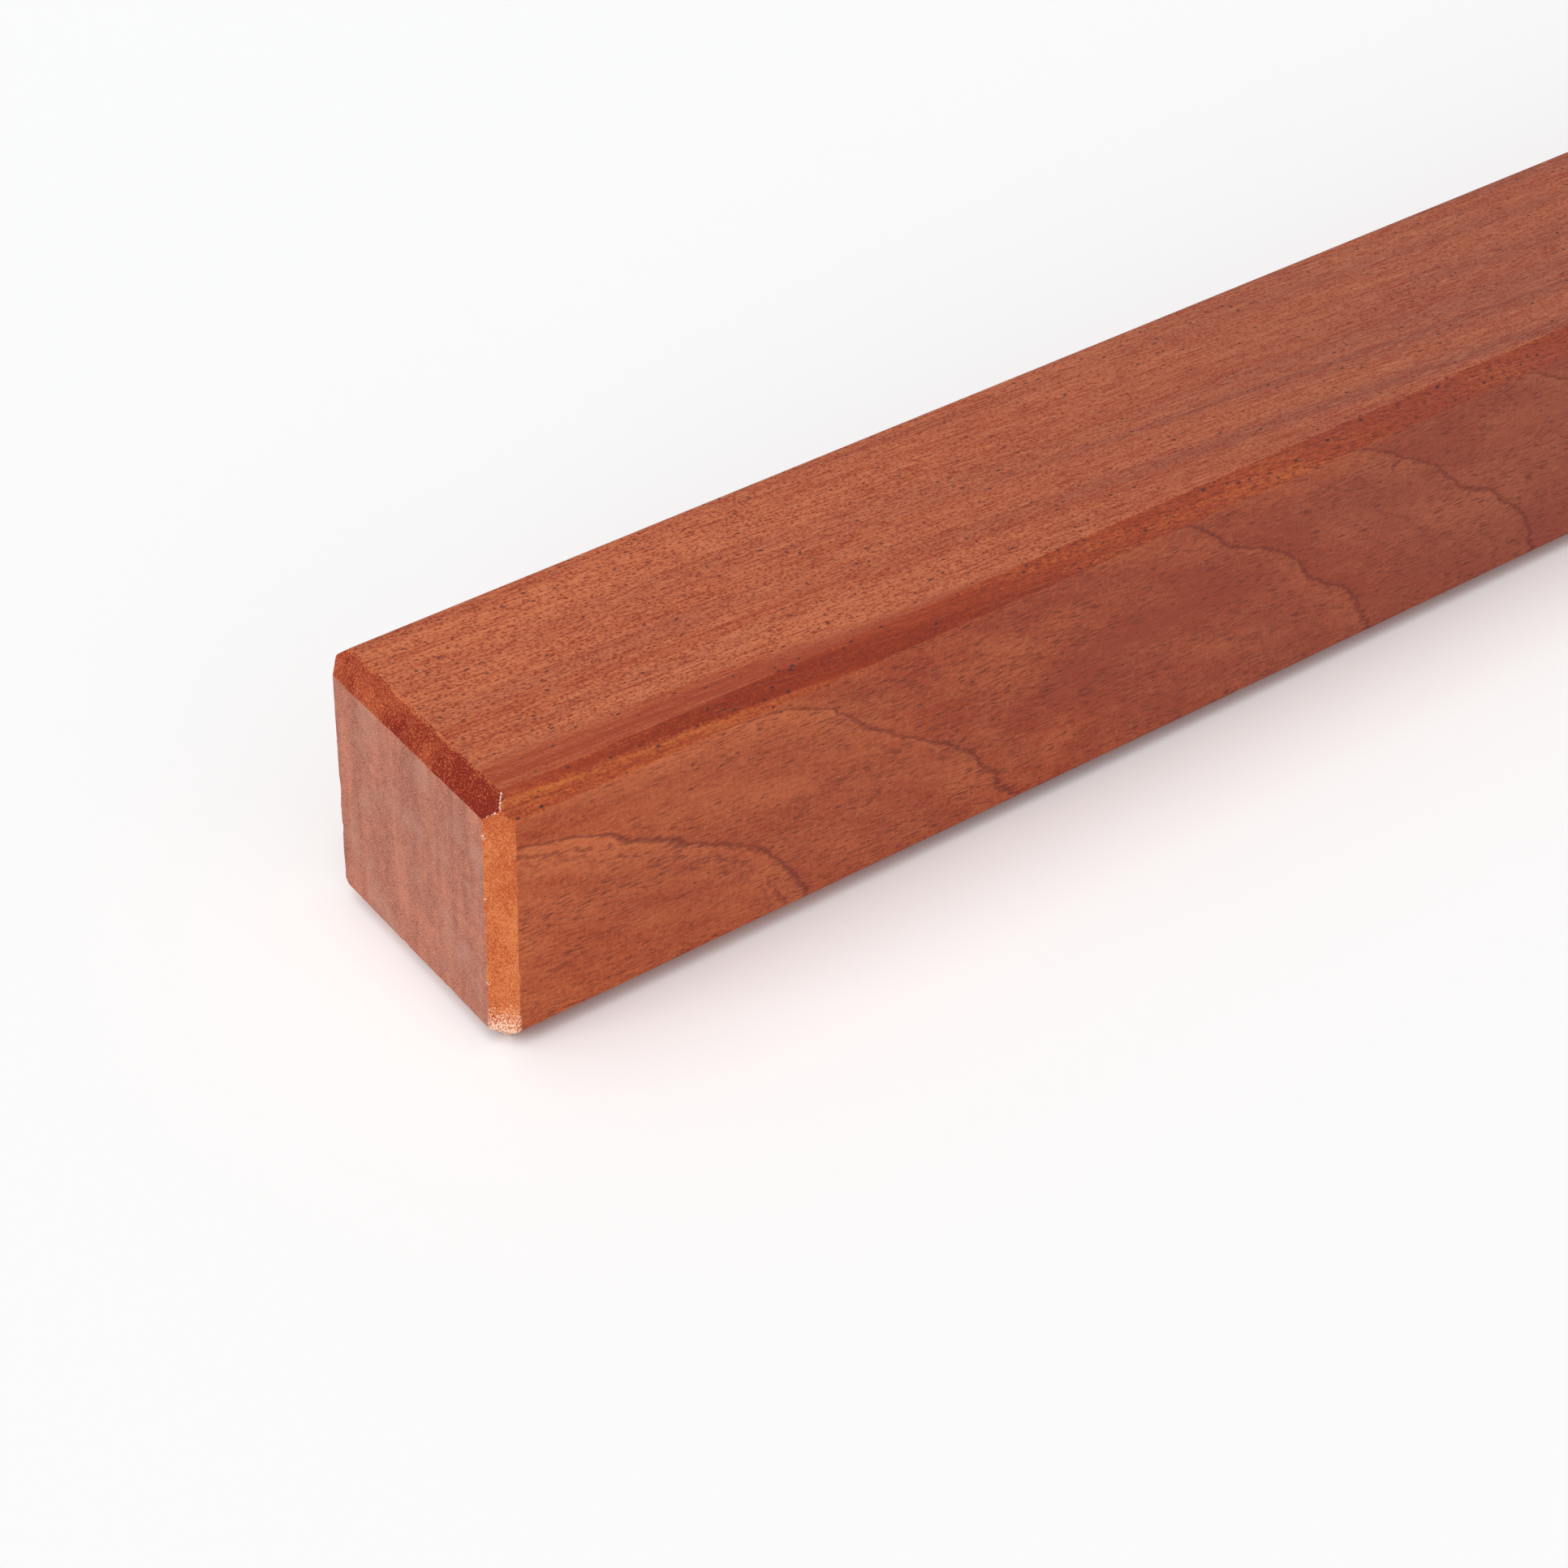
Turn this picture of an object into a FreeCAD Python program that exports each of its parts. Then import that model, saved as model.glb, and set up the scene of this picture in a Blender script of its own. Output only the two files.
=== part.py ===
import FreeCAD, Part
import math
import os

# Stair handrail: one length of planed hardwood, square in section, with all its edges chamfered.
# X runs along the rail, Y across it and Z up. The origin is at the middle of the underside.

# Driving dimensions, in millimetres
LENGTH = 1000.0
WIDTH = 45.0
HEIGHT = 45.0
# Legs of the 45 degree chamfers, along the four long edges and round the two end faces
LONG_CHAMFER = 3.2
END_CHAMFER = 3.0
# Sanding rounds the arrises between the long faces and their chamfers
ARRIS_RADIUS = 0.8


def cut_corner_outline(across, up, leg):
    """Corners of a centred rectangle with its four corners cut at 45 degrees, anticlockwise."""
    a = across / 2
    u = up / 2
    return [
        (a - leg, -u),
        (a, -u + leg),
        (a, u - leg),
        (a - leg, u),
        (-a + leg, u),
        (-a, u - leg),
        (-a, -u + leg),
        (-a + leg, -u),
    ]


def eased_wire(corners, radius):
    """Closed wire through the corners, with a tangent arc of the radius at each of them."""
    runs = []
    for before, corner, after in zip(corners[-1:] + corners[:-1], corners, corners[1:] + corners[:1]):
        back = (before - corner).normalize()
        ahead = (after - corner).normalize()
        half_angle = back.getAngle(ahead) / 2
        bisector = (back + ahead).normalize()
        tangent = radius / math.tan(half_angle)
        to_arc = radius / math.sin(half_angle) - radius
        runs.append((corner + back * tangent, corner + bisector * to_arc, corner + ahead * tangent))
    edges = []
    for run, following in zip(runs, runs[1:] + runs[:1]):
        edges.append(Part.Arc(*run).toShape())
        edges.append(Part.LineSegment(run[2], following[0]).toShape())
    return Part.Wire(edges)


def planed_bar():
    """The bar of full length, with its chamfered and sanded section."""
    section = [
        FreeCAD.Vector(-LENGTH / 2, y, z + HEIGHT / 2)
        for y, z in cut_corner_outline(WIDTH, HEIGHT, LONG_CHAMFER)
    ]
    face = Part.Face(eased_wire(section, ARRIS_RADIUS))
    return face.extrude(FreeCAD.Vector(LENGTH, 0, 0))


def plan_trim():
    """Prism of the outline seen from above, which cuts the upright chamfers of both ends."""
    outline = [
        FreeCAD.Vector(x, y, 0)
        for x, y in cut_corner_outline(LENGTH, WIDTH, END_CHAMFER)
    ]
    face = Part.Face(Part.makePolygon(outline + outline[:1]))
    return face.extrude(FreeCAD.Vector(0, 0, HEIGHT))


def side_trim():
    """Prism of the outline seen from the side, which cuts the level chamfers of both ends."""
    outline = [
        FreeCAD.Vector(x, -WIDTH / 2, z + HEIGHT / 2)
        for x, z in cut_corner_outline(LENGTH, HEIGHT, END_CHAMFER)
    ]
    face = Part.Face(Part.makePolygon(outline + outline[:1]))
    return face.extrude(FreeCAD.Vector(0, WIDTH, 0))


def handrail():
    """The finished rail: three chamfers meet in a point at each of its eight corners."""
    trimmed = planed_bar().common([plan_trim()]).common([side_trim()])
    return trimmed.Solids[0]


os.makedirs("parts", exist_ok=True)
handrail().exportStep("parts/handrail.step")
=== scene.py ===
import math
from types import SimpleNamespace

import bpy
import numpy as np
from mathutils import Matrix, Vector, noise


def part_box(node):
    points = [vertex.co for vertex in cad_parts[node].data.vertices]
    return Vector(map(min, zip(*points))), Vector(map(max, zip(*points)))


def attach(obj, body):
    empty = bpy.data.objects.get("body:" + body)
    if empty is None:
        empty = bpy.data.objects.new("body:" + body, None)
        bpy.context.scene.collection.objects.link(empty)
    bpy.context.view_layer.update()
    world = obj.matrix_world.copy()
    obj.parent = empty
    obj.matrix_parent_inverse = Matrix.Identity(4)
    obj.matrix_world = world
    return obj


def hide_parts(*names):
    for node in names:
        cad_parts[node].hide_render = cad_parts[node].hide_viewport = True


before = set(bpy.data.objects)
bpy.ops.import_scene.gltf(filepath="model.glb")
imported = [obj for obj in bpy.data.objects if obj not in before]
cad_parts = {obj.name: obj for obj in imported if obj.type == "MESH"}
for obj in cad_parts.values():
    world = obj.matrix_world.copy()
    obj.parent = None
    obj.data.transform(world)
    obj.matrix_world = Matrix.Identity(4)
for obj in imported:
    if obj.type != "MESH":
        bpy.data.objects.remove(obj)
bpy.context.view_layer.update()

bl_info = {
    "name": "Stair Handrail Timber",
    "version": (1, 0, 0),
    "blender": (4, 5, 0),
    "location": "View3D > Sidebar > Handrail",
    "description": "Dresses a packed length of square stair handrail as sanded red hardwood",
    "category": "Object",
}

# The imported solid, in metres: X along the rail, Y across it, Z up from the underside.
RAIL_LOW, RAIL_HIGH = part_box("handrail")
RAIL_SIZE = RAIL_HIGH - RAIL_LOW
RAIL_MIDDLE = (RAIL_LOW + RAIL_HIGH) / 2
NEAR_END = Vector((RAIL_LOW.x, RAIL_MIDDLE.y, RAIL_LOW.z))
MM = 0.001

# Spacing of the mesh lines near an edge, as distances from that edge in millimetres.
# They stand close together where the chamfers, 3 mm in from the edge, meet the faces.
EDGE_LINES_MM = (
    0.0, 0.3, 0.6, 0.9, 1.1, 1.3, 1.5, 1.7, 1.9, 2.1, 2.3, 2.5, 2.66, 2.78, 2.88, 2.94, 3.0,
    3.06, 3.12, 3.2, 3.28, 3.36, 3.45, 3.55, 3.7, 4.0, 4.5, 5.2,
)
CORE_DEPTH_MM = 6.0
ACROSS_STEP_MM = 0.8
ALONG_STEP_MM = 25.0
ALONG_GROWTH = 1.25

# Growth rings. Depth runs across the rings: it rises with Y, and more slowly along X and up Z,
# so that a ring shows as an arch on the front face and as a straight line on the top.
RING_SLOPE_ALONG = 0.063
RING_SLOPE_UP = 0.0315
RING_BOW_UP = 0.00099
# The rings lean more towards the near end, by this share there, over this length in millimetres
RING_END_LEAN = 0.35
RING_END_LENGTH = 50.0
# Depth in millimetres and strength of the dark lines that end the rings in the first stretch,
# and of the broken lines that run beside them
RING_LINES = ((3.55, 1.0), (5.96, 0.95), (10.7, 1.0), (13.0, 0.9), (15.4, 0.8))
BROKEN_LINES = ((3.32, 0.8), (3.18, 0.5), (12.1, 0.35))
RING_LISTED_TO = 17.0
RING_SPACING = 3.1
FIBRE_SLOPE_UP = 0.055
# Bands that run a little steeper than the rings: place across the rings and half width, in
# millimetres, of the smoky ones on the quarter-sawn faces
BAND_SLOPE_ALONG = 0.022
SMOKY_BANDS = ((25.3, 2.7), (34.2, 1.7))
# Soft edges across the rings, in millimetres, each as where it starts and where it is full:
# of the smooth strip beside the front chamfer, and of that chamfer's deep red and pale stretches
STRIP_START = (6.5, 8.0)
STRIP_END = (16.0, 12.6)
DEEP_RED = ((6.7, 7.6), (10.6, 9.2))
PALE_STRETCH = ((6.0, 6.3), (7.2, 6.7))
# The heartwood turns browner and back to orange over this length in millimetres, by this share: partly
# the wood's own tone, partly painted shade and painted sheen haze of the light falling off away from the
# near end
DRIFT_LENGTH = 420.0
DRIFT_AND_SHADE_SHARE = 0.28

# Wear of the eight corners, by the signs of X, Y and Z from the middle of the rail
CORNER_WEAR = {
    (-1, -1, 1): 1.0,
    (-1, -1, -1): 1.0,
    (-1, 1, 1): 0.6,
    (-1, 1, -1): 0.8,
    (1, -1, 1): 0.7,
    (1, -1, -1): 0.9,
    (1, 1, 1): 0.9,
    (1, 1, -1): 0.6,
}

# How much further the lower corners are worn back, in millimetres
LOWER_WEAR_MM = {"front": 1.1, "back": 2.1}

# How far the end chamfers run in over the end faces, in millimetres
END_SETBACK_MM = {"front": 3.4, "back": 3.1, "top": 3.4, "bottom": 2.8}

# Height from the floor and size, in millimetres, of the torn spots up the sides of the end faces
TORN_SPOTS = ((38.4, 0.8), (11.6, 0.5), (27.0, 0.4))

# Camera, from a fit of the rail's edges: place from the near end's underside, and view direction.
CAMERA_FROM_END = Vector((-0.20328, -0.34673, 0.36893))
CAMERA_HEADING = math.radians(52.169)
CAMERA_DIP = math.radians(39.793)
CAMERA_ROLL = math.radians(1.895)
CAMERA_LENS = 86.138
CAMERA_SENSOR = 36.0

# Heading, height and width of each soft lamp, in degrees, by its name in the studio's settings
STUDIO_LAMPS = {"end_lamp": (192, 25, 64), "top_lamp": (174, 75, 56), "front_lamp": (265, 35, 60)}


class HandrailShape(bpy.types.PropertyGroup):
    """Sizes of the rail's edges."""

    long_chamfer: bpy.props.FloatProperty(
        name="Long Chamfer",
        description="Leg of the chamfer along the four long edges",
        default=3.2 * MM,
        unit="LENGTH",
    )
    end_chamfer: bpy.props.FloatProperty(
        name="End Chamfer",
        description="Leg of the chamfer round both end faces",
        default=3.0 * MM,
        unit="LENGTH",
    )
    corner_cut: bpy.props.FloatProperty(
        name="Corner Cut",
        description="How far wear takes the corners back from where the box would meet",
        default=4.75 * MM,
        unit="LENGTH",
    )
    long_softness: bpy.props.FloatProperty(
        name="Long Arris Crispness",
        description="Higher values leave the sanded long arrises sharper",
        default=60.0,
    )
    end_softness: bpy.props.FloatProperty(
        name="End Arris Crispness",
        description="Higher values leave the sawn end arrises sharper",
        default=240.0,
    )
    edge_wander: bpy.props.FloatProperty(
        name="Edge Wander",
        description="How far hand sanding moves the long chamfers in and out",
        default=0.12 * MM,
        unit="LENGTH",
    )
    chip_depth: bpy.props.FloatProperty(
        name="Chip Depth",
        description="Depth of the small bites along the end arrises",
        default=0.6 * MM,
        unit="LENGTH",
    )


class HandrailWood(bpy.types.PropertyGroup):
    """Colours and finish of the timber."""

    pale_wood: bpy.props.FloatVectorProperty(
        name="Pale Wood",
        description="Lighter bands of the heartwood",
        subtype="COLOR",
        default=(0.655, 0.176, 0.068),
    )
    tan_wood: bpy.props.FloatVectorProperty(
        name="Tan Wood",
        description="Lighter bands of the quarter-sawn faces",
        subtype="COLOR",
        default=(0.612, 0.181, 0.081),
    )
    warm_wood: bpy.props.FloatVectorProperty(
        name="Warm Wood",
        description="Lighter bands of the long chamfers",
        subtype="COLOR",
        default=(0.625, 0.166, 0.045),
    )
    red_wood: bpy.props.FloatVectorProperty(
        name="Red Wood",
        description="Darker bands of the heartwood",
        subtype="COLOR",
        default=(0.37, 0.057, 0.0235),
    )
    # Browner heartwood, also used for the painted shade and painted sheen haze further from the near end
    dusky_wood_and_painted_shade: bpy.props.FloatVectorProperty(
        name="Dusky Wood",
        description="Stretches of browner heartwood along the rail",
        subtype="COLOR",
        default=(0.245, 0.086, 0.062),
    )
    growth_line: bpy.props.FloatVectorProperty(
        name="Growth Line",
        description="Thin dark line at the end of each ring",
        subtype="COLOR",
        default=(0.17, 0.033, 0.026),
    )
    fleck: bpy.props.FloatVectorProperty(
        name="Ray Fleck",
        description="Short flecks that crowd the quarter-sawn faces",
        subtype="COLOR",
        default=(0.255, 0.036, 0.02),
    )
    pore: bpy.props.FloatVectorProperty(
        name="Pore",
        description="Open pores, seen as short dashes along the grain",
        subtype="COLOR",
        default=(0.15, 0.035, 0.025),
    )
    pale_thread: bpy.props.FloatVectorProperty(
        name="Pale Thread",
        description="Thin light fibres",
        subtype="COLOR",
        default=(0.64, 0.25, 0.122),
    )
    gum_speck: bpy.props.FloatVectorProperty(
        name="Gum Speck",
        description="Pores filled with dark gum",
        subtype="COLOR",
        default=(0.05, 0.03, 0.03),
    )
    end_grain: bpy.props.FloatVectorProperty(
        name="End Grain",
        description="Darker patches of the sanded end face",
        subtype="COLOR",
        default=(0.22, 0.07, 0.05),
    )
    end_vein: bpy.props.FloatVectorProperty(
        name="End Vein",
        description="Lighter veins of the sanded end face",
        subtype="COLOR",
        default=(0.46, 0.168, 0.105),
    )
    sanding_dust: bpy.props.FloatVectorProperty(
        name="Sanding Dust",
        description="Fine dust left on the end face",
        subtype="COLOR",
        default=(0.51, 0.26, 0.19),
    )
    level_cut: bpy.props.FloatVectorProperty(
        name="Level End Chamfer",
        description="Chamfer across the top and bottom of each end, and deep red of the front chamfer",
        subtype="COLOR",
        default=(0.17, 0.016, 0.0085),
    )
    level_glint: bpy.props.FloatVectorProperty(
        name="Level Chamfer Glint",
        description="Fibre ends on the level end chamfers",
        subtype="COLOR",
        default=(0.52, 0.125, 0.05),
    )
    upright_cut: bpy.props.FloatVectorProperty(
        name="Upright End Chamfer",
        description="Chamfer up both sides of each end",
        subtype="COLOR",
        default=(0.405, 0.077, 0.0235),
    )
    upright_glint: bpy.props.FloatVectorProperty(
        name="Upright Chamfer Glint",
        description="Fibre ends on the upright end chamfers",
        subtype="COLOR",
        default=(0.61, 0.198, 0.07),
    )
    torn_fibre: bpy.props.FloatVectorProperty(
        name="Torn Fibre",
        description="Whitened wood where fibres tore at the corners",
        subtype="COLOR",
        default=(0.82, 0.60, 0.47),
    )
    sheen_roughness: bpy.props.FloatProperty(
        name="Roughness",
        description="Roughness of the sanded long faces",
        default=0.58,
        subtype="FACTOR",
    )


class HandrailStudio(bpy.types.PropertyGroup):
    """Floor and light."""

    floor_colour: bpy.props.FloatVectorProperty(
        name="Floor",
        description="Colour of the studio floor",
        subtype="COLOR",
        default=(0.945, 0.95, 0.951),
    )
    floor_lift: bpy.props.FloatProperty(
        name="Floor Lift",
        description="How much brighter the floor shows than it lights the rail",
        default=1.03,
    )
    dome_strength: bpy.props.FloatProperty(
        name="Dome",
        description="Strength of the even light from all round",
        default=0.225,
    )
    end_lamp: bpy.props.FloatProperty(
        name="End Lamp",
        description="Strength of the soft lamp beyond the near end",
        default=2.28,
    )
    top_lamp: bpy.props.FloatProperty(
        name="Top Lamp",
        description="Strength of the soft lamp overhead",
        default=1.3,
    )
    front_lamp: bpy.props.FloatProperty(
        name="Front Lamp",
        description="Strength of the faint, soft lamp in front of the rail",
        default=0.3,
    )


class NodeBench:
    """Lays out the nodes of one material or world."""

    def __init__(self, owner):
        owner.use_nodes = True
        self.tree = owner.node_tree
        self.tree.nodes.clear()

    def feed(self, socket, value):
        if isinstance(value, bpy.types.NodeSocket):
            self.tree.links.new(value, socket)
        else:
            socket.default_value = value

    def node(self, kind, inputs=None, **settings):
        made = self.tree.nodes.new(kind)
        for name, value in settings.items():
            setattr(made, name, value)
        for name, value in (inputs or {}).items():
            self.feed(made.inputs[name], value)
        return made

    def math(self, operation, *values):
        return self.node("ShaderNodeMath", dict(enumerate(values)), operation=operation).outputs[0]

    def add(self, *values):
        total = values[0]
        for value in values[1:]:
            total = self.math("ADD", total, value)
        return total

    def times(self, *values):
        total = values[0]
        for value in values[1:]:
            total = self.math("MULTIPLY", total, value)
        return total

    def scaled(self, vector, factors):
        made = self.node("ShaderNodeVectorMath", {0: vector, 1: factors}, operation="MULTIPLY")
        return made.outputs[0]

    def shifted(self, vector, shift, amounts):
        """The vector, moved by its amount of the shift on each axis."""
        inputs = {0: shift, 1: amounts, 2: vector}
        return self.node("ShaderNodeVectorMath", inputs, operation="MULTIPLY_ADD").outputs[0]

    def joined(self, x, y, z):
        return self.node("ShaderNodeCombineXYZ", {0: x, 1: y, 2: z}).outputs[0]

    def step(self, value, start, end, low=0.0, high=1.0):
        """Smooth change from low, where the value is at start, to high, where it is at end."""
        made = self.node(
            "ShaderNodeMapRange",
            {"Value": value, "From Min": start, "From Max": end, "To Min": low, "To Max": high},
            interpolation_type="SMOOTHSTEP",
        )
        return made.outputs["Result"]

    def mix(self, factor, first, second):
        made = self.node("ShaderNodeMix", data_type="RGBA")
        self.feed(made.inputs["Factor"], factor)
        self.feed(made.inputs["A"], first)
        self.feed(made.inputs["B"], second)
        return made.outputs["Result"]

    def between(self, value, edges):
        """1 between two soft edges, each given as where it starts and where it is full."""
        return self.times(*(self.step(value, *edge) for edge in edges))

    def noise(self, vector, sizes, detail=2.0, roughness=0.5, output="Fac"):
        """Noise whose grains have these sizes along X, Y and Z."""
        made = self.node(
            "ShaderNodeTexNoise",
            {
                "Vector": self.scaled(vector, tuple(1 / size for size in sizes)),
                "Scale": 1.0,
                "Detail": detail,
                "Roughness": roughness,
            },
        )
        return made.outputs[output]

    def swing(self, value, amount):
        """Noise about a half, turned into a change about zero."""
        return self.times(self.math("SUBTRACT", value, 0.5), amount)


def opaque(colour):
    return (*colour, 1.0)


def edge_graded(length_mm, middle_step_mm, growth):
    """Places along a side, close together near both its ends."""
    near = list(EDGE_LINES_MM)
    gap = near[-1] - near[-2]
    while near[-1] + gap * growth < length_mm / 2:
        gap = min(gap * growth, middle_step_mm)
        near.append(near[-1] + gap)
    far = [length_mm - place for place in reversed(near)]
    if far[0] - near[-1] < 0.5 * gap:
        near.pop()
    return np.array(near + far)


def box_skin(places):
    """Points, quads and the side of each quad of a box that is split at the places on its axes."""
    number = np.full([len(p) for p in places], -1)
    skin = np.zeros(number.shape, bool)
    skin[[0, -1], :, :] = True
    skin[:, [0, -1], :] = True
    skin[:, :, [0, -1]] = True
    number[skin] = np.arange(skin.sum())
    spots = np.nonzero(skin)
    points = np.stack([place[spot] for place, spot in zip(places, spots)], 1)
    quads = []
    sides = []
    for axis in range(3):
        for end in (0, -1):
            sheet = np.take(number, end, axis)
            corners = np.stack([sheet[:-1, :-1], sheet[1:, :-1], sheet[1:, 1:], sheet[:-1, 1:]], -1)
            corners = corners.reshape(-1, 4)
            faces_out = (end == -1) != (axis == 1)
            quads.append(corners if faces_out else corners[:, ::-1])
            sides += [2 * axis - end] * len(corners)
    return points, np.concatenate(quads), np.array(sides)


def soft_least(values, crispness):
    """The least of the values, rounded over where two of them are about equal."""
    return sum(value ** -crispness for value in values) ** (-1.0 / crispness)


def drift(points, size, seed):
    """Smooth noise from -1 to 1 at each point."""
    return np.array([noise.noise(Vector(p) / size + Vector((seed, seed, seed))) for p in points])


def end_leans(places, shape):
    """Tilt of the end chamfers beside and above or below each place, from their setbacks."""
    leg = shape.end_chamfer / MM
    beside = np.where(places[:, 1] < 0, leg / END_SETBACK_MM["front"], leg / END_SETBACK_MM["back"])
    level = np.where(places[:, 2] > 0, leg / END_SETBACK_MM["top"], leg / END_SETBACK_MM["bottom"])
    return beside, level


def corner_wear(places, shape):
    """How far wear has taken back the corner nearest to each place, in millimetres."""
    lower = np.where(places[:, 1] < 0, LOWER_WEAR_MM["front"], LOWER_WEAR_MM["back"])
    return shape.corner_cut / MM + np.where(places[:, 2] < 0, lower, 0.0)


def face_gaps(planed, shape):
    """Depth of each point below the planes of its nearest faces and chamfers, in millimetres."""
    depth = np.array(RAIL_SIZE) / MM / 2 - np.abs(planed)
    end, side, level = depth.T
    side_lean, level_lean = end_leans(planed, shape)
    return {
        "end": end,
        "upright_cut": (end + side_lean * side - shape.end_chamfer / MM) / np.hypot(1, side_lean),
        "level_cut": (end + level_lean * level - shape.end_chamfer / MM) / np.hypot(1, level_lean),
        "long_cut": (side + level - shape.long_chamfer / MM) / math.sqrt(2),
        "corner": (end + side_lean * side + level_lean * level - corner_wear(planed, shape)) / 1.7,
    }


def torn_marks(planed, shape):
    """How much each point lies on an arris or a corner where fibres tore, from 0 to 1."""
    gaps = face_gaps(planed, shape)

    def along(first, second, width):
        return np.exp(-((gaps[first] + gaps[second]) / width) ** 2)

    from_floor = planed[:, 2] + RAIL_SIZE.z / MM / 2
    ends_meet = along("level_cut", "upright_cut", 0.25)
    long_meets = along("level_cut", "long_cut", 0.28)
    upright_meets = along("upright_cut", "long_cut", 0.24)
    arris = along("end", "upright_cut", 0.2) * (drift(planed, 3.1, 8.2) > 0.3)
    for height, size in TORN_SPOTS:
        spot = np.exp(-((from_floor - height) / size) ** 2) * along("end", "upright_cut", 0.5)
        arris = np.maximum(arris, spot)
    lines = np.maximum.reduce([ends_meet, long_meets, 0.5 * upright_meets, 0.75 * arris])
    frayed = np.exp(-(np.minimum(gaps["upright_cut"], gaps["corner"]) / 0.4) ** 2)
    frayed = frayed * np.clip(1.3 - from_floor / 9.0, 0.0, 1.0)
    weight = np.ones(len(planed))
    for sign, share in CORNER_WEAR.items():
        there = np.all(np.sign(planed) == sign, 1)
        weight[there] = share
    return np.clip(np.maximum(lines, 0.78 * frayed) * weight, 0.0, 1.0)


def planed_points(points, shape):
    """Moves the skin of the plain box onto the chamfered and sanded rail, in millimetres."""
    half = np.array(RAIL_SIZE) / MM / 2
    core = np.clip(points, CORE_DEPTH_MM - half, half - CORE_DEPTH_MM)
    out = np.abs(points - core)
    inner = np.abs(core)
    long_leg = shape.long_chamfer / MM
    end_leg = shape.end_chamfer / MM
    side_lean, level_lean = end_leans(points, shape)
    worn = corner_wear(points, shape)
    wander = shape.edge_wander / MM * (0.5 + 0.5 * drift(points * (0.2, 1.0, 1.0), 12.0, 3.7))
    bites = np.clip(drift(points, 2.4, 11.3) - 0.15, 0.0, 1.0) + 0.15 * np.abs(drift(points, 1.1, 5.1))
    bites = bites + 0.3 * np.abs(drift(points, 6.0, 2.9))
    chips = shape.chip_depth / MM * bites

    def reach(tilt, taken):
        """Share of the way out at which the plane with this tilt to X, Y and Z is met."""
        tilt = np.stack(np.broadcast_arrays(*tilt, out[:, 0])[:3], 1)
        way = (out * tilt).sum(1)
        left = ((half - inner) * tilt).sum(1) - taken
        return np.where(way > 1e-9, left / np.maximum(way, 1e-9), 1e3)

    side = soft_least(
        [reach((0, 1, 0), 0.0), reach((0, 0, 1), 0.0), reach((0, 1, 1), long_leg + wander)],
        shape.long_softness,
    )
    ends = [
        reach((1, 0, 0), 0.0),
        reach((1, side_lean, 0), end_leg + chips),
        reach((1, 0, level_lean), end_leg + chips),
        reach((1, side_lean, level_lean), worn + chips),
    ]
    share = soft_least([side, *ends], shape.end_softness)
    return core + (points - core) * share[:, None]


def strip_map(mesh, quads, sides, points):
    """Texture map with one strip for each long side and a patch for each end."""
    half = np.array(RAIL_SIZE) / MM / 2
    share = points / half / 2 + 0.5
    gap = 0.006
    strip = 0.2
    patch = (0.3, 0.15)
    uv = np.zeros((len(quads), 4, 2))
    for side in range(6):
        chosen = sides == side
        at = share[quads[chosen]]
        axis = side // 2
        if axis == 0:
            u = gap + side * (patch[0] + gap) + at[..., 1] * patch[0]
            v = 4 * (strip + gap) + gap + at[..., 2] * patch[1]
        else:
            u = gap + at[..., 0] * (1 - 2 * gap)
            v = (side - 2) * (strip + gap) + gap + at[..., 3 - axis] * strip
        uv[chosen] = np.stack([u, v], -1)
    layer = mesh.uv_layers.new(name="OFBake")
    layer.data.foreach_set("uv", uv.astype(np.float32).ravel())


def timber_mesh(shape):
    size_mm = np.array(RAIL_SIZE) / MM
    places = [
        edge_graded(size_mm[0], ALONG_STEP_MM, ALONG_GROWTH) - size_mm[0] / 2,
        edge_graded(size_mm[1], ACROSS_STEP_MM, 1.0) - size_mm[1] / 2,
        edge_graded(size_mm[2], ACROSS_STEP_MM, 1.0) - size_mm[2] / 2,
    ]
    points, quads, sides = box_skin(places)
    planed = planed_points(points, shape)
    mesh = bpy.data.meshes.new("handrail_timber")
    mesh.from_pydata((planed * MM + np.array(RAIL_MIDDLE)).tolist(), [], quads.tolist())
    mesh.polygons.foreach_set("use_smooth", np.ones(len(quads), bool))
    torn = mesh.attributes.new("torn_fibre", "FLOAT", "POINT")
    torn.data.foreach_set("value", torn_marks(planed, shape).astype(np.float32))
    strip_map(mesh, quads, sides, points)
    mesh.validate()
    mesh.update()
    return mesh


def ring_depth(bench, place, x, y, z):
    """Depth across the growth rings, in millimetres, with the waver of each ring."""
    waver = bench.noise(place, (20, 10, 10), 3.0)
    rise = bench.add(
        bench.times(z, RING_SLOPE_UP),
        bench.times(bench.math("POWER", z, 2.0), RING_BOW_UP),
    )
    lean = bench.node(
        "ShaderNodeMapRange",
        {"Value": x, "From Max": RING_END_LENGTH, "To Min": 1.0 + RING_END_LEAN, "To Max": 1.0},
    ).outputs["Result"]
    return bench.add(
        y,
        RAIL_SIZE.y / MM / 2,
        bench.times(x, RING_SLOPE_ALONG),
        bench.times(rise, lean),
        bench.swing(waver, 0.75),
    )


def fibre_places(bench, place, x):
    """Place with X along the fibres, which lean a little and swing from side to side."""
    lean = bench.joined(0.0, bench.times(x, RING_SLOPE_ALONG), bench.times(x, FIBRE_SLOPE_UP))
    leaning = bench.node("ShaderNodeVectorMath", {0: place, 1: lean}, operation="ADD").outputs[0]
    swing = bench.noise(place, (60, 14, 12), 1.0, output="Color")
    return bench.shifted(leaning, swing, (0.0, 1.4, 4.0))


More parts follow.
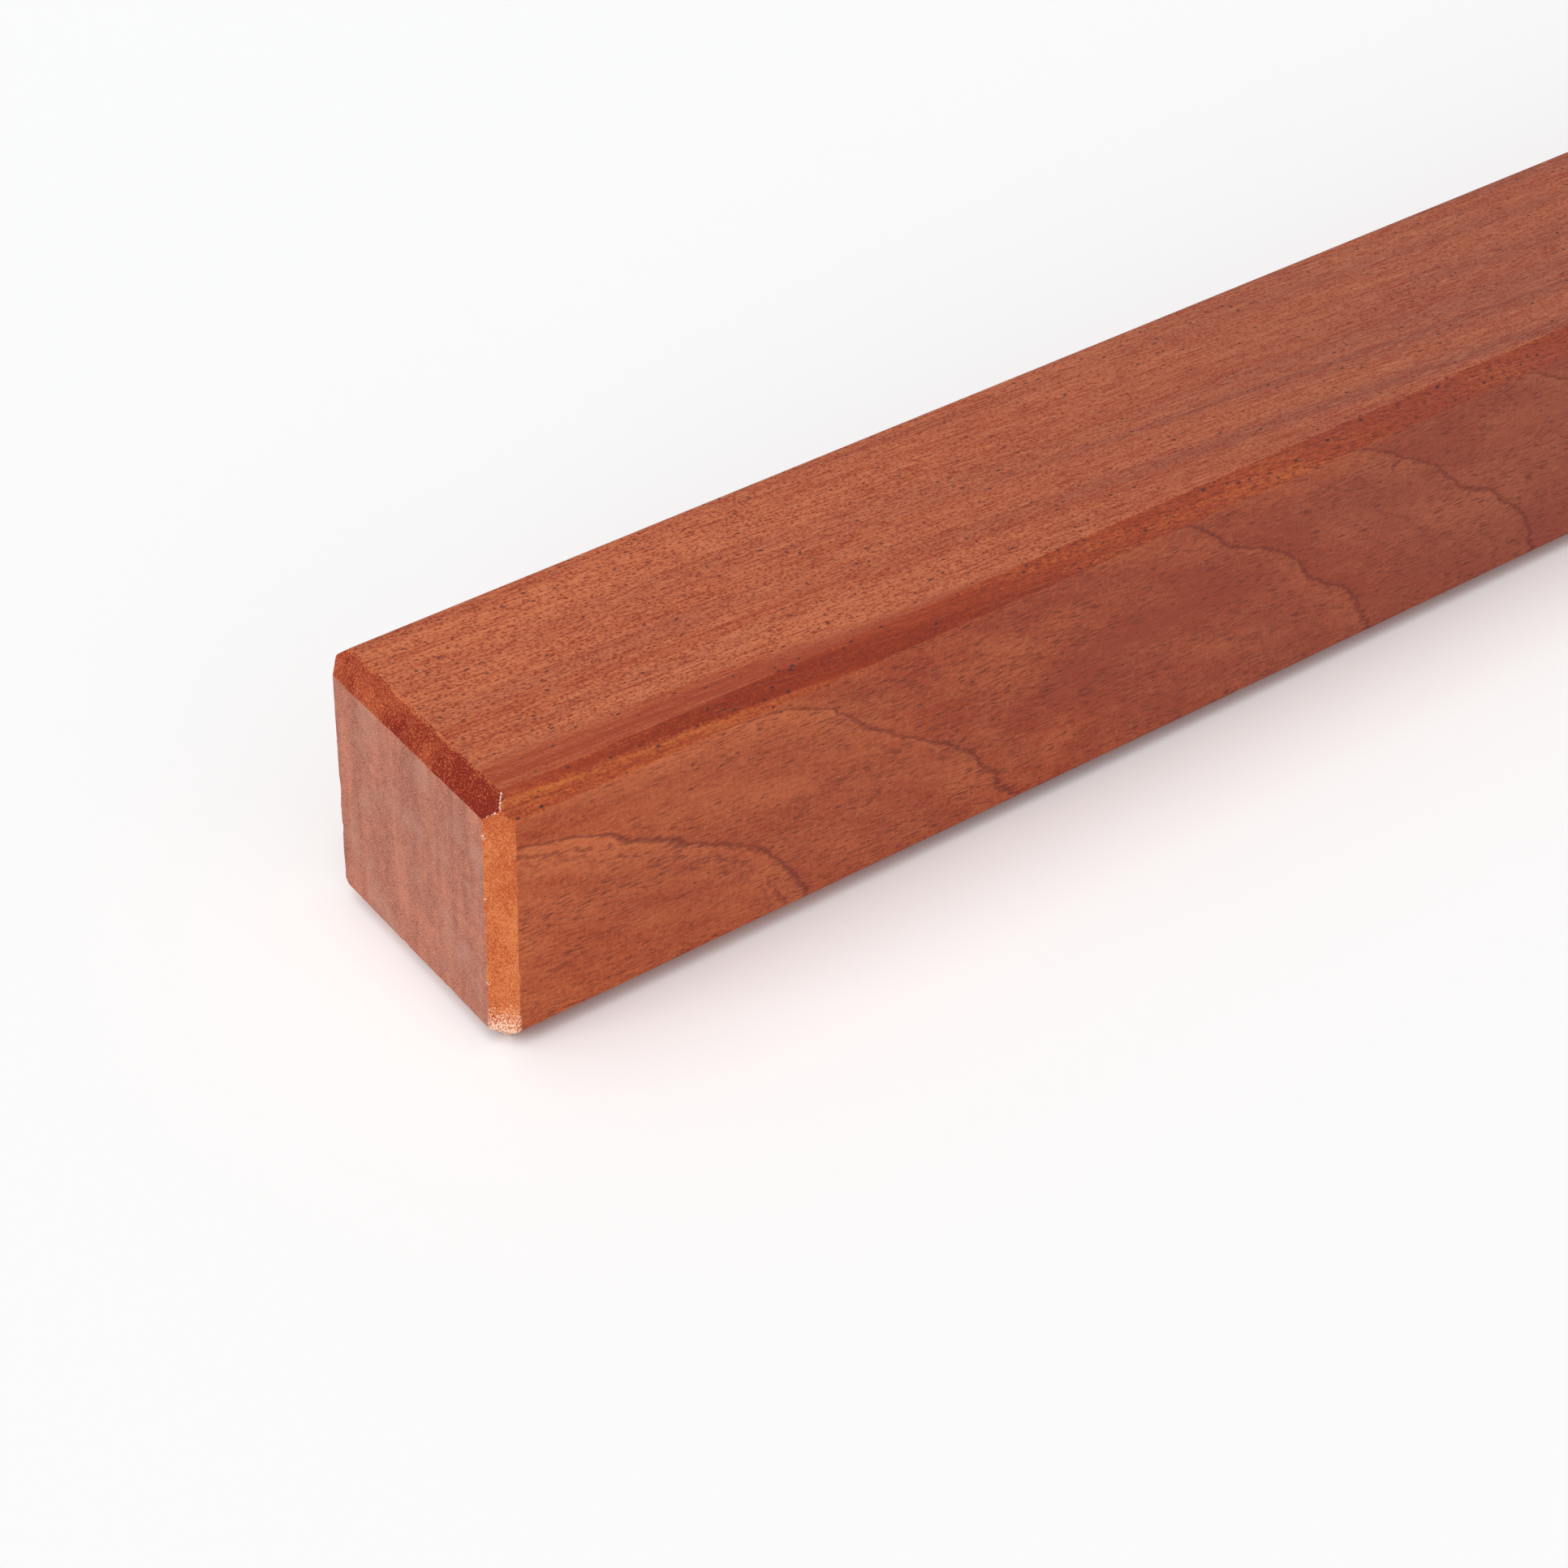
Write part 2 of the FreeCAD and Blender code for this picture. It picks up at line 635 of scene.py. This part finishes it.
def timber_grain(bench):
    """Places in the timber, in millimetres from the near end, and the noises that marks share."""
    here = bench.node("ShaderNodeTexCoord").outputs["Object"]
    place = bench.shifted(tuple(-c / MM for c in NEAR_END), here, (1 / MM,) * 3)
    x, y, z = bench.node("ShaderNodeSeparateXYZ", {0: place}).outputs
    depth = ring_depth(bench, place, x, y, z)
    fibres = fibre_places(bench, place, x)
    return SimpleNamespace(
        place=place,
        x=x,
        y=y,
        z=z,
        depth=depth,
        inward=bench.add(depth, bench.times(x, BAND_SLOPE_ALONG)),
        fibres=fibres,
        rings=bench.joined(x, depth, z),
        from_end=bench.math("MINIMUM", x, bench.math("SUBTRACT", RAIL_SIZE.x / MM, x)),
        streaks=bench.noise(fibres, (6, 0.4, 0.4), 2.0, 0.6),
        crowd=bench.noise(place, (26, 7, 8), 1.0),
        specks=bench.noise(place, (0.5, 0.36, 0.36), 2.0, 0.6),
        grit=bench.noise(place, (0.26, 0.22, 0.26), 1.0),
    )


def facing(bench):
    """Masks of the sawn and planed faces, by the way that they face."""
    normal = bench.node("ShaderNodeTexCoord").outputs["Normal"]
    parts = bench.node("ShaderNodeSeparateXYZ", {0: normal}).outputs
    along, across, up = (bench.math("ABSOLUTE", part) for part in parts)
    return {
        "end_cut": bench.step(along, 0.25, 0.5),
        "end_face": bench.step(along, 0.93, 0.985),
        "level": bench.step(bench.math("SUBTRACT", up, across), -0.08, 0.08),
        "long_chamfer": bench.step(bench.math("MINIMUM", across, up), 0.3, 0.6),
        "quarter_sawn": bench.step(up, 0.76, 0.95),
    }


def by_face(bench, faces, plain, quarter=0.0, chamfer=0.0):
    """Plain value of the long faces, with what quarter-sawn faces and long chamfers add to it."""
    on_quarter = bench.times(faces["quarter_sawn"], quarter)
    on_chamfer = bench.times(faces["long_chamfer"], chamfer)
    return bench.add(plain, on_quarter, on_chamfer)


def dots(bench, place, size, reach, share, faintest=1.0):
    """Small rounded marks, some wider or fainter than others, on a share of the places.

    With two sizes the marks run right through the timber from top to bottom.
    """
    factors = (*(1 / s for s in size), 0.0)[:3]
    cells = bench.node(
        "ShaderNodeTexVoronoi",
        {"Vector": bench.scaled(place, factors), "Scale": 1.0, "Randomness": 1.0},
        voronoi_dimensions=f"{len(size)}D",
    ).outputs
    chances = bench.node("ShaderNodeSeparateColor", {0: cells["Color"]}).outputs
    there = bench.math("LESS_THAN", chances[0], share)
    edge = bench.times(bench.step(chances[1], 0.0, 1.0, 0.55, 1.0), reach)
    mark = bench.step(cells["Distance"], edge, bench.times(edge, 0.2))
    return bench.times(mark, there, bench.step(chances[2], 0.0, 1.0, faintest, 1.0))


def ring_marks(bench, grain):
    """Dark lines at the ends of the rings, and the tone that lightens up to a line and then drops."""
    broken = bench.noise(grain.place, (3, 2, 2))
    ragged = bench.swing(bench.noise(grain.place, (2.2, 0.8, 0.6), 1.0), 0.13)
    later = bench.node(
        "ShaderNodeTexVoronoi",
        {"W": bench.times(grain.depth, 1 / RING_SPACING), "Scale": 1.0, "Randomness": 0.8},
        voronoi_dimensions="1D",
    ).outputs["W"]
    later = bench.math("MAXIMUM", bench.times(later, RING_SPACING), RING_LISTED_TO)
    lines = 0.0
    tone = 0.0
    for ring, strength in (*RING_LINES, (later, 0.85)):
        ahead = bench.math("SUBTRACT", ring, grain.depth)
        away = bench.math("ABSOLUTE", bench.add(ahead, ragged))
        lines = bench.math("MAXIMUM", lines, bench.step(away, 0.055, 0.01, 0.0, strength))
        before = bench.times(bench.step(ahead, 1.1, 0.0), bench.math("GREATER_THAN", ahead, 0.0))
        after = bench.times(bench.step(ahead, -2.2, 0.0), bench.math("LESS_THAN", ahead, 0.0))
        tone = bench.add(tone, bench.times(before, -0.17 * strength), bench.times(after, 0.1 * strength))
    lines = bench.times(lines, bench.step(broken, 0.2, 0.5, 0.6, 1.0))
    for ring, strength in BROKEN_LINES:
        ahead = bench.math("SUBTRACT", ring, grain.depth)
        away = bench.math("ABSOLUTE", bench.add(ahead, ragged, ragged))
        line = bench.times(bench.step(away, 0.05, 0.01, 0.0, strength), bench.step(broken, 0.4, 0.48))
        lines = bench.math("MAXIMUM", lines, line)
    return lines, tone


def wood_tone(bench, grain, faces, ring_tone, strip, deep):
    """Share of the darker wood, from bands, patches and streaks that differ from face to face."""
    x = grain.x
    quarter = faces["quarter_sawn"]
    chamfer = faces["long_chamfer"]
    tone = bench.add(0.42, bench.times(ring_tone, by_face(bench, faces, 1.0, quarter=-0.85)))
    # Each noise with its strength, and with what the quarter-sawn faces and the chamfers add to it
    for marks, amount, on_quarter, on_chamfer in (
        (bench.noise(grain.rings, (110, 2.4, 26), 2.5, 0.6), 1.1, 0.4, 1.0),
        (bench.noise(grain.rings, (34, 0.42, 7)), 0.7, 0.6, 0.0),
        (bench.noise(grain.place, (34, 9, 9), 2.5, 0.55), 0.8, 0.0, 1.2),
        (grain.streaks, 0.6, 0.5, 0.6),
        (grain.specks, 1.2, 0.0, 0.6),
    ):
        share = by_face(bench, faces, 1.0, on_quarter, on_chamfer)
        tone = bench.add(tone, bench.times(bench.swing(marks, amount), share))

    # Fine ripples cross the front and back, which also darken away from the near end, partly in the
    # wood's own tone, partly as painted shade of the light falling off; slanting ones cross the smooth
    # strip and the chamfers
    ripples = bench.swing(bench.noise(grain.place, (0.26, 3, 1.2), 0.0), 0.28)
    front = bench.add(ripples, bench.step(x, 25.0, 110.0, -0.02, 0.42))
    slanted = bench.joined(bench.add(x, bench.times(grain.y, 0.8)), grain.y, grain.z)
    scales = bench.swing(bench.noise(slanted, (0.4, 1.4, 1.4), 1.0), 0.6)
    pale = bench.between(grain.depth, PALE_STRETCH)
    chamfer_tone = bench.add(
        bench.step(x, 10.0, 60.0, 0.29, 0.42),
        bench.step(x, 66.0, 105.0, 0.0, -0.09),
        bench.times(deep, 0.6),
        bench.times(pale, -0.25),
    )
    return bench.add(
        tone,
        bench.times(front, by_face(bench, faces, 1.0, quarter=-1.0)),
        bench.times(scales, bench.add(bench.times(strip, quarter), chamfer)),
        bench.times(chamfer, chamfer_tone),
        bench.times(quarter, bench.add(-0.24, bench.times(strip, 0.65))),
    )


def smoky_and_shade_share(bench, grain, faces, strip):
    """Share of the browner wood: the smooth strip, the smoky bands and later stretches of the rail, with
    painted shade and painted sheen haze that grow away from the near end.
    """
    x = grain.x
    quarter = faces["quarter_sawn"]
    first = bench.times(strip, bench.step(quarter, 0.0, 1.0, 0.12, 0.15))
    smoke = bench.times(
        bench.step(x, 50.0, 150.0, 0.1, 0.44), bench.step(grain.streaks, 0.3, 0.7, 0.55, 1.15), quarter
    )
    for ring, half_width in SMOKY_BANDS:
        aside = bench.math("ABSOLUTE", bench.math("SUBTRACT", grain.inward, ring))
        band = bench.times(bench.step(aside, half_width, 0.0), smoke)
        first = bench.math("MAXIMUM", first, band)
    roaming = bench.noise(grain.rings, (150, 4, 40))
    later = bench.times(
        bench.step(roaming, 0.46, 0.66, 0.0, 0.4), bench.step(x, 180.0, 300.0, 0.5, 1.0)
    )
    # The slow turn to browner wood along the rail is partly painted shade and painted sheen haze of the
    # light falling off
    turn = bench.math("COSINE", bench.times(x, math.tau / DRIFT_LENGTH))
    share = bench.add(bench.math("MAXIMUM", first, later), bench.times(turn, -DRIFT_AND_SHADE_SHARE), DRIFT_AND_SHADE_SHARE)
    bright = bench.step(x, 60.0, 120.0, -0.3, -0.1)
    return bench.times(share, by_face(bench, faces, 0.65, quarter=0.29, chamfer=bright))


def fleck_marks(bench, wood, colour, grain, faces, strip):
    """Adds rows of dots and thin threads, which crowd the quarter-sawn faces beside the strip."""
    clear = bench.math("SUBTRACT", 1.0, bench.times(strip, faces["quarter_sawn"], 0.8))
    jog = bench.noise(grain.place, (0.9, 0.5, 0.5), 1.0, output="Color")
    jogged = bench.shifted(grain.fibres, jog, (0.5, 0.35, 0.35))
    crowded = bench.step(grain.crowd, 0.3, 0.6, 0.75, 1.0)
    flecks = dots(bench, jogged, (0.72, 0.36), 0.76, crowded, 0.35)
    fleck_share = bench.times(
        by_face(bench, faces, 0.0, quarter=1.0, chamfer=0.3), bench.step(grain.x, 60.0, 150.0, 1.0, 0.85)
    )
    colour = bench.mix(bench.times(flecks, fleck_share, clear), colour, opaque(wood.fleck))
    hairs = bench.noise(grain.fibres, (9, 0.22, 0.22), 0.0)
    hair_share = bench.times(by_face(bench, faces, 0.2, quarter=0.4), clear)
    pale_hairs = bench.times(bench.step(hairs, 0.6, 0.76), hair_share, 0.5)
    colour = bench.mix(pale_hairs, colour, opaque(wood.pale_thread))
    dark_hairs = bench.times(bench.step(hairs, 0.4, 0.26), hair_share)
    return bench.mix(dark_hairs, colour, opaque(wood.fleck))


def pore_marks(bench, wood, colour, grain, faces):
    """Adds dashes on the long chamfers and open pores, of which a few are filled with gum."""
    ticks = bench.noise(grain.fibres, (1.3, 0.22, 0.22), 1.0)
    more = bench.step(grain.x, 55.0, 110.0, 0.5, 1.0)
    dashes = bench.times(bench.step(ticks, 0.52, 0.64), more, faces["long_chamfer"], 0.7)
    colour = bench.mix(dashes, colour, opaque(wood.pore))
    crowd = bench.add(grain.crowd, bench.step(grain.x, 10.0, 42.0, -0.12, 0.08))
    shy = bench.step(crowd, 0.3, 0.62, 0.64, 0.55)
    grooves = bench.noise(grain.fibres, (2.4, 0.23, 0.23), 1.0)
    pores = bench.step(bench.math("SUBTRACT", grooves, shy), -0.02, 0.11)
    pore_share = by_face(bench, faces, 0.72, quarter=-0.5, chamfer=-0.5)
    colour = bench.mix(bench.times(pores, pore_share), colour, opaque(wood.pore))
    gum_reach = by_face(bench, faces, 0.16, quarter=0.11, chamfer=0.14)
    gum = dots(bench, grain.fibres, (2.2, 1.1, 1.1), gum_reach, 0.75)
    return bench.mix(bench.times(gum, 0.92), colour, opaque(wood.gum_speck))


def heartwood(bench, wood, grain, faces):
    """Colour of the long faces."""
    quarter = faces["quarter_sawn"]
    chamfer = faces["long_chamfer"]
    lines, ring_tone = ring_marks(bench, grain)
    # A smooth, dark strip borders the front chamfer; the chamfer itself starts pale and turns deep red
    strip = bench.times(bench.step(grain.depth, *STRIP_START), bench.step(grain.inward, *STRIP_END))
    deep = bench.times(bench.between(grain.depth, DEEP_RED), bench.step(grain.x, 6.0, 34.0))
    tone = wood_tone(bench, grain, faces, ring_tone, strip, deep)
    light = bench.mix(quarter, opaque(wood.pale_wood), opaque(wood.tan_wood))
    light = bench.mix(chamfer, light, opaque(wood.warm_wood))
    colour = bench.mix(tone, light, opaque(wood.red_wood))
    uneven = bench.add(0.45, bench.swing(grain.specks, 1.6), bench.swing(grain.streaks, 0.4))
    colour = bench.mix(bench.times(deep, chamfer, uneven), colour, opaque(wood.level_cut))
    colour = bench.mix(smoky_and_shade_share(bench, grain, faces, strip), colour, opaque(wood.dusky_wood_and_painted_shade))
    colour = fleck_marks(bench, wood, colour, grain, faces, strip)
    line_share = bench.times(lines, bench.step(quarter, 0.0, 1.0, 0.64, 0.2))
    colour = bench.mix(line_share, colour, opaque(wood.growth_line))
    return pore_marks(bench, wood, colour, grain, faces)


def end_wood(bench, wood, grain, faces):
    """Colour of the sanded end faces and of the fresh chamfers round them."""
    grit = grain.grit
    haze = bench.noise(grain.place, (9, 7, 8), 3.0)
    veins = bench.noise(grain.place, (9, 2.6, 26), 2.5, 0.55)
    mottle = bench.noise(grain.place, (1.5, 1.3, 1.5))
    dull = bench.add(
        0.58,
        bench.swing(veins, -1.2),
        bench.swing(grit, 2.2),
        bench.swing(haze, 1.4),
        bench.swing(mottle, 1.1),
    )
    face = bench.mix(dull, opaque(wood.end_vein), opaque(wood.end_grain))
    dust = bench.add(bench.step(haze, 0.46, 0.7, 0.0, 0.35), bench.step(grit, 0.6, 0.25, 0.0, 0.45))
    face = bench.mix(dust, face, opaque(wood.sanding_dust))
    face = bench.mix(bench.step(grit, 0.33, 0.2, 0.0, 0.35), face, opaque(wood.torn_fibre))
    face = bench.mix(bench.step(grit, 0.66, 0.8, 0.0, 0.5), face, opaque(wood.pore))

    # Fibre ends glint on the chamfers
    level_glint = bench.add(
        bench.step(grit, 0.44, 0.78, 0.02, 0.85),
        bench.swing(haze, 1.1),
        bench.swing(mottle, 0.5),
        bench.step(grain.y, -21.0, 14.0, -0.14, 0.16),
    )
    level = bench.mix(level_glint, opaque(wood.level_cut), opaque(wood.level_glint))
    upright_glint = bench.add(
        0.43, bench.swing(grit, 3.0), bench.swing(haze, 1.5), bench.swing(mottle, 1.0)
    )
    upright = bench.mix(upright_glint, opaque(wood.upright_cut), opaque(wood.upright_glint))
    chamfer = bench.mix(faces["level"], upright, level)
    # Painted highlight: a thin brighter line along the inner edge of the end chamfers, strongest on the
    # level ones
    painted_rim_highlight = bench.times(
        bench.step(grain.from_end, 2.6, 2.95, 0.0, 0.5),
        bench.step(bench.add(haze, bench.swing(grit, 0.6)), 0.4, 0.6),
        bench.add(0.3, bench.times(faces["level"], 0.7)),
    )
    chamfer = bench.mix(painted_rim_highlight, chamfer, opaque(wood.upright_glint))
    return bench.mix(faces["end_face"], chamfer, face)


def timber_material(wood):
    """Sanded red hardwood, with its grain running right through the solid."""
    material = bpy.data.materials.new("sanded_red_hardwood")
    bench = NodeBench(material)
    grain = timber_grain(bench)
    faces = facing(bench)
    heart = heartwood(bench, wood, grain, faces)
    cut = end_wood(bench, wood, grain, faces)
    colour = bench.mix(faces["end_cut"], heart, cut)
    torn = bench.node("ShaderNodeAttribute", attribute_name="torn_fibre").outputs["Fac"]
    ragged = bench.step(bench.add(torn, bench.swing(grain.grit, 1.6)), 0.45, 0.85, 0.0, 0.8)
    colour = bench.mix(bench.times(ragged, bench.step(torn, 0.02, 0.2)), colour, opaque(wood.torn_fibre))

    rough = bench.add(
        wood.sheen_roughness,
        bench.times(faces["end_cut"], 0.18),
        bench.swing(grain.specks, 0.1),
    )
    height = bench.add(
        bench.swing(grain.specks, 0.015),
        bench.times(bench.swing(grain.grit, 0.012), faces["end_cut"]),
    )
    bump = bench.node("ShaderNodeBump", {"Strength": 1.0, "Distance": MM, "Height": height})
    surface = bench.node(
        "ShaderNodeBsdfPrincipled",
        {
            "Base Color": colour,
            "Roughness": rough,
            "Specular IOR Level": 0.08,
            "Normal": bump.outputs["Normal"],
        },
    )
    bench.node("ShaderNodeOutputMaterial", {"Surface": surface.outputs[0]})
    return material


class HANDRAIL_OT_timber(bpy.types.Operator):
    """Builds the rail as one planed and chamfered length of timber"""

    bl_idname = "handrail.timber"
    bl_label = "Make Timber"

    def execute(self, context):
        timber = bpy.data.objects.new("handrail_timber", timber_mesh(context.scene.handrail_shape))
        context.scene.collection.objects.link(timber)
        timber.data.materials.append(timber_material(context.scene.handrail_wood))
        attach(timber, "root")
        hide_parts("handrail")
        return {"FINISHED"}


def seen_rays(bench):
    """1 for the rays that show the stage, straight or in gloss and glass, and 0 for the others."""
    path = bench.node("ShaderNodeLightPath").outputs
    seen = bench.math("MAXIMUM", path["Is Camera Ray"], path["Is Glossy Ray"])
    return bench.math("MAXIMUM", seen, path["Is Transmission Ray"])


def floor_material(studio):
    material = bpy.data.materials.new("studio_floor")
    bench = NodeBench(material)
    shown = tuple(c * studio.floor_lift for c in studio.floor_colour)
    colour = bench.mix(seen_rays(bench), opaque(studio.floor_colour), opaque(shown))
    surface = bench.node("ShaderNodeBsdfDiffuse", {"Color": colour})
    bench.node("ShaderNodeOutputMaterial", {"Surface": surface.outputs[0]})
    return material


def studio_floor(studio):
    reach = 8 * RAIL_SIZE.x
    low = RAIL_LOW.z
    corners = [(-reach, -reach, low), (reach, -reach, low), (reach, reach, low), (-reach, reach, low)]
    mesh = bpy.data.meshes.new("studio_floor")
    mesh.from_pydata(corners, [], [(0, 1, 2, 3)])
    mesh.materials.append(floor_material(studio))
    floor = bpy.data.objects.new("studio_floor", mesh)
    bpy.context.scene.collection.objects.link(floor)


def studio_light(studio):
    """Even light from a pale dome, which shows white, and three wide, soft lamps."""
    world = bpy.data.worlds.new("studio_dome")
    bpy.context.scene.world = world
    bench = NodeBench(world)
    strength = bench.node(
        "ShaderNodeMapRange",
        {"Value": seen_rays(bench), "To Min": studio.dome_strength, "To Max": 1.0},
    ).outputs["Result"]
    dome = bench.node("ShaderNodeBackground", {"Color": (1.0, 1.0, 1.0, 1.0), "Strength": strength})
    bench.node("ShaderNodeOutputWorld", {"Surface": dome.outputs[0]})

    for name, (heading, height, width) in STUDIO_LAMPS.items():
        lamp = bpy.data.lights.new(f"studio_{name}", "SUN")
        lamp.energy = getattr(studio, name)
        lamp.angle = math.radians(width)
        holder = bpy.data.objects.new(f"studio_{name}", lamp)
        holder.rotation_euler = (math.radians(90 - height), 0.0, math.radians(heading + 90))
        bpy.context.scene.collection.objects.link(holder)


def studio_camera():
    """Camera at the photograph's place, for a square picture."""
    lens = bpy.data.cameras.new("studio_camera")
    lens.lens = CAMERA_LENS
    lens.sensor_width = CAMERA_SENSOR
    lens.sensor_fit = "HORIZONTAL"
    lens.clip_start = 0.01
    lens.clip_end = 100.0
    camera = bpy.data.objects.new("studio_camera", lens)
    turn = (
        Matrix.Rotation(CAMERA_HEADING - math.pi / 2, 4, "Z")
        @ Matrix.Rotation(math.pi / 2 - CAMERA_DIP, 4, "X")
        @ Matrix.Rotation(CAMERA_ROLL, 4, "Z")
    )
    camera.matrix_world = Matrix.Translation(NEAR_END + CAMERA_FROM_END) @ turn
    bpy.context.scene.collection.objects.link(camera)
    bpy.context.scene.camera = camera


class HANDRAIL_OT_stage(bpy.types.Operator):
    """Sets up the studio floor, the light and the camera"""

    bl_idname = "handrail.stage"
    bl_label = "Set Stage"

    def execute(self, context):
        studio = context.scene.handrail_studio
        studio_floor(studio)
        studio_light(studio)
        studio_camera()
        context.scene.view_settings.view_transform = "Standard"
        return {"FINISHED"}


class HANDRAIL_PT_panel(bpy.types.Panel):
    """Sizes, colours and steps of the handrail"""

    bl_idname = "HANDRAIL_PT_panel"
    bl_label = "Handrail"
    bl_space_type = "VIEW_3D"
    bl_region_type = "UI"
    bl_category = "Handrail"

    def draw(self, context):
        for settings in ("handrail_shape", "handrail_wood", "handrail_studio"):
            group = getattr(context.scene, settings)
            box = self.layout.box()
            for name in type(group).__annotations__:
                box.prop(group, name)
        for operator in (HANDRAIL_OT_timber, HANDRAIL_OT_stage):
            self.layout.operator(operator.bl_idname)


CLASSES = (
    HandrailShape,
    HandrailWood,
    HandrailStudio,
    HANDRAIL_OT_timber,
    HANDRAIL_OT_stage,
    HANDRAIL_PT_panel,
)


def register():
    for each in CLASSES:
        bpy.utils.register_class(each)
    bpy.types.Scene.handrail_shape = bpy.props.PointerProperty(type=HandrailShape)
    bpy.types.Scene.handrail_wood = bpy.props.PointerProperty(type=HandrailWood)
    bpy.types.Scene.handrail_studio = bpy.props.PointerProperty(type=HandrailStudio)


def unregister():
    del bpy.types.Scene.handrail_studio
    del bpy.types.Scene.handrail_wood
    del bpy.types.Scene.handrail_shape
    for each in reversed(CLASSES):
        bpy.utils.unregister_class(each)


def main():
    register()
    bpy.ops.handrail.timber()
    bpy.ops.handrail.stage()


if __name__ == "__main__":
    main()
